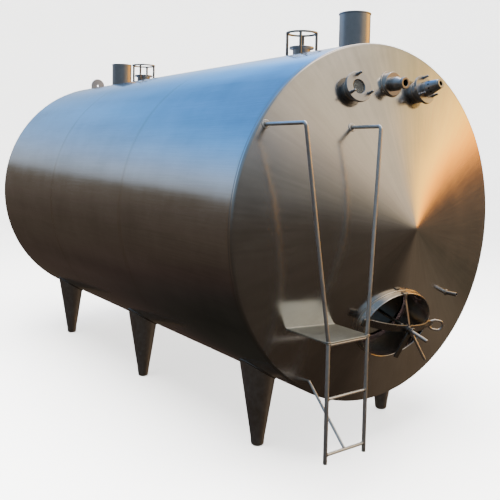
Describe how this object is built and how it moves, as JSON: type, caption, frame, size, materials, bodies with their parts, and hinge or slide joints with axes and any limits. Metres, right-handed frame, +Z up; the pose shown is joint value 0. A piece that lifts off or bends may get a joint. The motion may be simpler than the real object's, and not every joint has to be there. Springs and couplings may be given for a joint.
{
  "type": "horizontal insulated storage tank",
  "caption": "Horizontal insulated stainless-steel storage tank with conical heads on tapered legs, with an oval manhole, a ladder with a platform, vents and ports.",
  "frame": {"origin": "on the floor, below the middle of the overall length and width", "axes": "+Z up, +Y from the front head to the rear head along the barrel's axis, +X to the right as seen from the front"},
  "size_m": [1.85, 4.039, 2.31],
  "materials": {
    "jacket": "brushed lengthwise, satin",
    "head": "brushed radially, semi-bright",
    "leg": "satin",
    "frame": "satin tube and plate",
    "fitting": "dull turned",
    "polished": "semi-bright",
    "seal": "matt",
    "pane": "clear, dark behind"
  },
  "bodies": {
    "tank": {"barrel_front_course": "jacket", "barrel_middle_course": "jacket", "barrel_rear_course": "jacket", "front_head": "head", "rear_head": "head", "sight_glass_neck": "head", "lamp_neck": "head", "nozzle_pad": "head", "leg_left_front": "leg", "leg_left_middle": "leg", "leg_left_rear": "leg", "leg_right_front": "leg", "leg_right_middle": "leg", "leg_right_rear": "leg", "ladder_post_left": "frame", "ladder_post_right": "frame", "platform_front_bar": "frame", "ladder_rung_upper": "frame", "ladder_rung_lower": "frame", "platform_plate": "frame", "handrail_left": "frame", "handrail_right": "frame", "ladder_brace": "frame", "manhole_hanger": "frame", "lifting_lug_left": "frame", "lifting_lug_right": "frame", "agitator_stand_front": "frame", "agitator_stand_rear": "frame", "vent_front_body": "fitting", "vent_front_lid": "fitting", "vent_rear_body": "fitting", "vent_rear_lid": "fitting", "agitator_collar_front": "fitting", "agitator_collar_rear": "fitting", "sight_glass_flange": "fitting", "lamp_flange": "fitting", "lamp_housing": "fitting", "nozzle_body": "fitting", "manhole_yoke": "fitting", "manhole_neck": "polished", "manhole_door": "polished", "thermometer_pocket": "polished", "manhole_gasket": "seal", "sight_glass_pane": "pane"},
    "handle": {"manhole_handle": "fitting"}
  },
  "joints": [
    {"name": "handle_turn", "type": "hinge", "parent": "tank", "child": "handle", "pos_m": [0, -1.91214, 0.69199], "axis": [0, -0.9627, -0.2706], "continuous": true}
  ]
}
